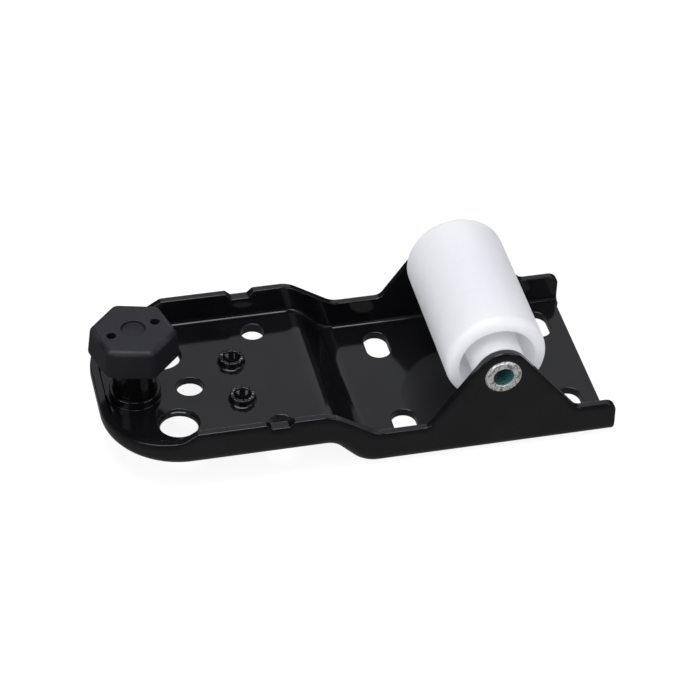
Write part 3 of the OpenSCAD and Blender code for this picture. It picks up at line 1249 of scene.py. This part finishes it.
@dataclass
class LevellingFoot:
    """The foot: a hexagonal moulded head with a recess and two pin holes, on a threaded stem."""

    foot_x: float = -120.6
    base_z: float = 31.7
    thick: float = 11.1
    flats: float = 28.3
    corner: float = 3.8
    draft: float = 1.15
    under_edge: float = 1.3
    top_edge: float = 1.9
    turn: float = -13.7
    recess: float = 4.2
    recess_depth: float = 1.0
    pin: float = 1.6
    pin_depth: float = 3.5
    pin_spread: float = 8.2
    stem: float = 7.6
    stem_length: float = 26.0
    plain_stem: float = 15.0
    stem_tip: float = 1.4
    pitch: float = 1.75
    thread: float = 0.5

    def __post_init__(self) -> None:
        """Starts the mesh and sets the foot's own directions."""
        self.blank = Blank()
        self.middle = Vector((self.foot_x, 0, self.base_z))
        self.spin = Matrix.Rotation(math.radians(self.turn), 3, "Z")

    def head(self) -> tuple[list[int], list[int]]:
        """Makes the head's rounded sides.

        Returns:
            The loops of its bottom and top faces.
        """
        across = self.flats / math.sqrt(3)
        points = [(across * math.cos(a), across * math.sin(a), self.corner) for a in arc_angles(0, 300, 60)]
        plan = rounded_path(points, step=10)
        spots = [
            (self.middle + self.spin @ Vector((*p.at, 0)), self.spin @ Vector((*p.normal, 0))) for p in plan
        ]
        profile = rounded_path(
            [
                (-self.under_edge - 0.05, 0, 0),
                (0, 0, self.under_edge),
                (-self.draft, self.thick, self.top_edge),
                (-self.draft - self.top_edge - 0.05, self.thick, 0),
            ],
            closed=False,
            step=10,
        )
        # Marks bands by the under and top edges, paler there as rubbing wear and as a painted highlight.
        under, top = (0.1, 0.8), (self.thick - 1.6, self.thick - 0.15)
        rings = self.blank.sweep(
            spots, Z, profile, lambda h: float(under[0] < h < under[1] or top[0] < h < top[1])
        )
        return rings[0], rings[-1]

    def stem_rings(self) -> list[int]:
        """Makes the stem with its thread and end.

        Returns:
            The loop where it leaves the head.
        """
        blank, down = self.blank, self.stem_length
        r, plain, tip = self.stem, self.plain_stem, self.stem_tip
        spots = ring_spots(self.middle, X, Y, 0.0, 96)
        upper = [(r + 0.6, 0, 0), (r, 0, 0.55), (r, -plain, 0)]
        lower = [(r, -down + tip, 0), (r, -down, tip - 0.2), (r - 2.5, -down, 0)]
        first, last = (blank.sweep(spots, Z, rounded_path(c, False, True, 15)) for c in (upper, lower))
        rows = [first[-1]]
        threaded = down - plain - tip
        steps = int(threaded / self.pitch * 10)
        for k in range(1, steps):
            depth = -plain - threaded * k / steps
            fade = min(1.0, k / 8, (steps - k) / 8)
            row = []
            for number, (_, way) in enumerate(spots):
                phase = 2 * math.pi * (depth / self.pitch + number / len(spots))
                radius = self.stem - self.thread * fade * (0.5 - 0.5 * math.cos(phase))
                slope = -self.thread * fade * math.pi / self.pitch * math.sin(phase)
                row.append(blank.vertex(self.middle + way * radius + Z * depth, way - Z * slope))
            rows.append(row)
        rows.append(last[0])
        blank.strips(rows)
        blank.fill(last[-1])
        return first[0]

    def sink(self, spot: Vector, corners: Sequence[tuple[float, float, float]], count: int) -> list[int]:
        """Sinks a round feature into the head's top face.

        Args:
            spot: Its middle on the top face.
            corners: Its profile from the top face inwards, in radius and height.
            count: Spots round it.

        Returns:
            Its loop in the top face.
        """
        profile = rounded_path(corners, closed=False, step=22)
        rings = self.blank.sweep(ring_spots(spot, X, Y, 0.0, count), Z, profile)
        self.blank.fill(rings[-1])
        return rings[0]

    def build(self, material: bpy.types.Material) -> bpy.types.Object:
        """Builds the foot.

        Args:
            material: The plastic.

        Returns:
            The foot.
        """
        bottom, top = self.head()
        self.blank.fill(bottom, [self.stem_rings()])
        face = self.middle + Z * self.thick
        r, deep = self.recess, self.recess_depth
        openings = [self.sink(face, [(r + 0.3, 0, 0), (r, 0, 0.2), (r, -deep, 0.3), (r - 0.6, -deep, 0)], 64)]
        line = self.spin @ Vector((math.cos(math.radians(30)), math.sin(math.radians(30)), 0))
        r, deep = self.pin, self.pin_depth
        hole = [(r + 0.3, 0, 0), (r, 0, 0.22), (r, -deep, 0.25), (r - 0.5, -deep, 0)]
        openings += [self.sink(face + line * self.pin_spread * side, hole, 32) for side in (-1, 1)]
        self.blank.fill(top, openings)
        return self.blank.finish("levelling_foot", Body.FOOT, "foot", Slot.DARK, material)


# Studio


@dataclass(frozen=True)
class SoftBox:
    """A soft studio light. One that is not mirrored fills the shadows and shows in no reflection."""

    name: str
    way: tuple[float, float, float]
    distance: float
    width: float
    height: float
    radiance: float
    mirrored: bool = True
    colour: tuple[float, float, float] = (0.94, 0.95, 1.0)

    def place(self, target: Vector) -> None:
        """Hangs the light so that it faces the object.

        Args:
            target: The object's middle, in metres.
        """
        lamp = bpy.data.lights.new(self.name, "AREA")
        lamp.shape, lamp.size, lamp.size_y = "RECTANGLE", self.width, self.height
        lamp.energy = self.radiance * math.pi * self.width * self.height
        lamp.color = self.colour
        light = bpy.data.objects.new(self.name, lamp)
        way = Vector(self.way).normalized()
        light.location = target + way * self.distance
        light.rotation_mode = "QUATERNION"
        light.rotation_quaternion = way.to_track_quat("Z", "Y")
        light.visible_glossy = self.mirrored
        bpy.context.scene.collection.objects.link(light)


@dataclass(frozen=True)
class Studio:
    """The floor, the lights and the camera at the photograph's angle."""

    azimuth: float = -14.4233
    elevation: float = 40.1362
    roll: float = 2.1157
    distance: float = 0.982903
    target: tuple[float, float, float] = (-0.0382828, 0.0239448, 0.0)
    lens: float = 139.8600
    glow: float = 0.19
    gloom: float = 0.03
    glow_below: float = -0.60
    gloom_above: float = -0.22
    boxes: tuple[SoftBox, ...] = (
        SoftBox("back box", (0.19, 0.74, 0.645), 1.1, 1.1, 0.7, 0.55),
        SoftBox("low back box", (0.24, 0.95, 0.22), 1.4, 0.5, 0.22, 4.2),
        SoftBox("top box", (-0.1, -0.05, 1.0), 1.1, 0.9, 0.7, 5.4),
        SoftBox("side box", (-0.9, -0.5, 0.75), 1.3, 0.7, 0.7, 2.8),
        SoftBox("front box", (0.65, -0.65, 0.50), 1.4, 0.9, 0.6, 2.4),
        SoftBox("fill box", (-0.45, -0.85, 0.42), 1.2, 1.2, 0.9, 1.0, mirrored=False),
    )

    def camera(self) -> None:
        """Sets the camera where the photograph was taken from."""
        azimuth, elevation, roll = (math.radians(a) for a in (self.azimuth, self.elevation, self.roll))
        level = Vector((math.sin(azimuth), -math.cos(azimuth), 0))
        back = level * math.cos(elevation) + Z * math.sin(elevation)
        right = (-back).cross(Z).normalized()
        up = right.cross(-back)
        turned = right * math.cos(roll) + up * math.sin(roll)
        upright = up * math.cos(roll) - right * math.sin(roll)
        lens = bpy.data.cameras.new("photo camera")
        lens.sensor_width, lens.lens = 36.0, self.lens
        lens.clip_start, lens.clip_end = 0.05, 20.0
        eye = bpy.data.objects.new("photo camera", lens)
        bpy.context.scene.collection.objects.link(eye)
        eye.matrix_world = Matrix.Translation(Vector(self.target) + back * self.distance) @ (
            Matrix((turned, upright, back)).transposed().to_4x4()
        )
        bpy.context.scene.camera = eye

    def floor(self, material: bpy.types.Material) -> None:
        """Lays the floor just under the object.

        Args:
            material: The floor's finish.
        """
        mesh = bpy.data.meshes.new("studio_floor")
        bm = bmesh.new()
        bmesh.ops.create_grid(bm, x_segments=8, y_segments=8, size=4.0)
        bm.to_mesh(mesh)
        bm.free()
        mesh.materials.append(material)
        board = bpy.data.objects.new("studio_floor", mesh)
        board.location = (0, 0, -0.0002)
        board.visible_glossy = False
        bpy.context.scene.collection.objects.link(board)

    def light(self) -> None:
        """Hangs the soft boxes, and lets the room glow from below, as over a pale table."""
        world = bpy.data.worlds.new("studio air")
        world.use_nodes = True
        nodes, links = world.node_tree.nodes, world.node_tree.links
        kinds = ("TexCoord", "SeparateXYZ", "MapRange")
        way, part, level = (nodes.new(f"ShaderNode{kind}") for kind in kinds)
        links.new(way.outputs["Generated"], part.inputs[0])
        links.new(part.outputs["Z"], level.inputs["Value"])
        ends = {
            "From Min": self.glow_below,
            "From Max": self.gloom_above,
            "To Min": self.glow,
            "To Max": self.gloom,
        }
        for key, value in ends.items():
            level.inputs[key].default_value = value
        links.new(level.outputs[0], nodes["Background"].inputs["Strength"])
        nodes["Background"].inputs["Color"].default_value = (1.0, 1.0, 1.0, 1.0)
        bpy.context.scene.world = world
        for box in self.boxes:
            box.place(Vector(self.target) + Vector((0, 0, 0.02)))

    def set_up(self) -> None:
        """Makes the whole studio."""
        self.camera()
        self.floor(PaleBoard().make())
        self.light()
        bpy.context.scene.view_settings.view_transform = "Standard"


def main() -> None:
    """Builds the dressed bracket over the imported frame."""
    logging.basicConfig(level=logging.INFO, format="%(name)s: %(message)s", stream=sys.stdout, force=True)
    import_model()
    TrayBracket().build(BlackCoat().make())
    Roller().build(WhiteMoulding().make())
    HollowAxle().build(PlatedSteel().make())
    LevellingFoot().build(DarkMoulding().make())
    Studio().set_up()


if __name__ == "__main__":
    main()
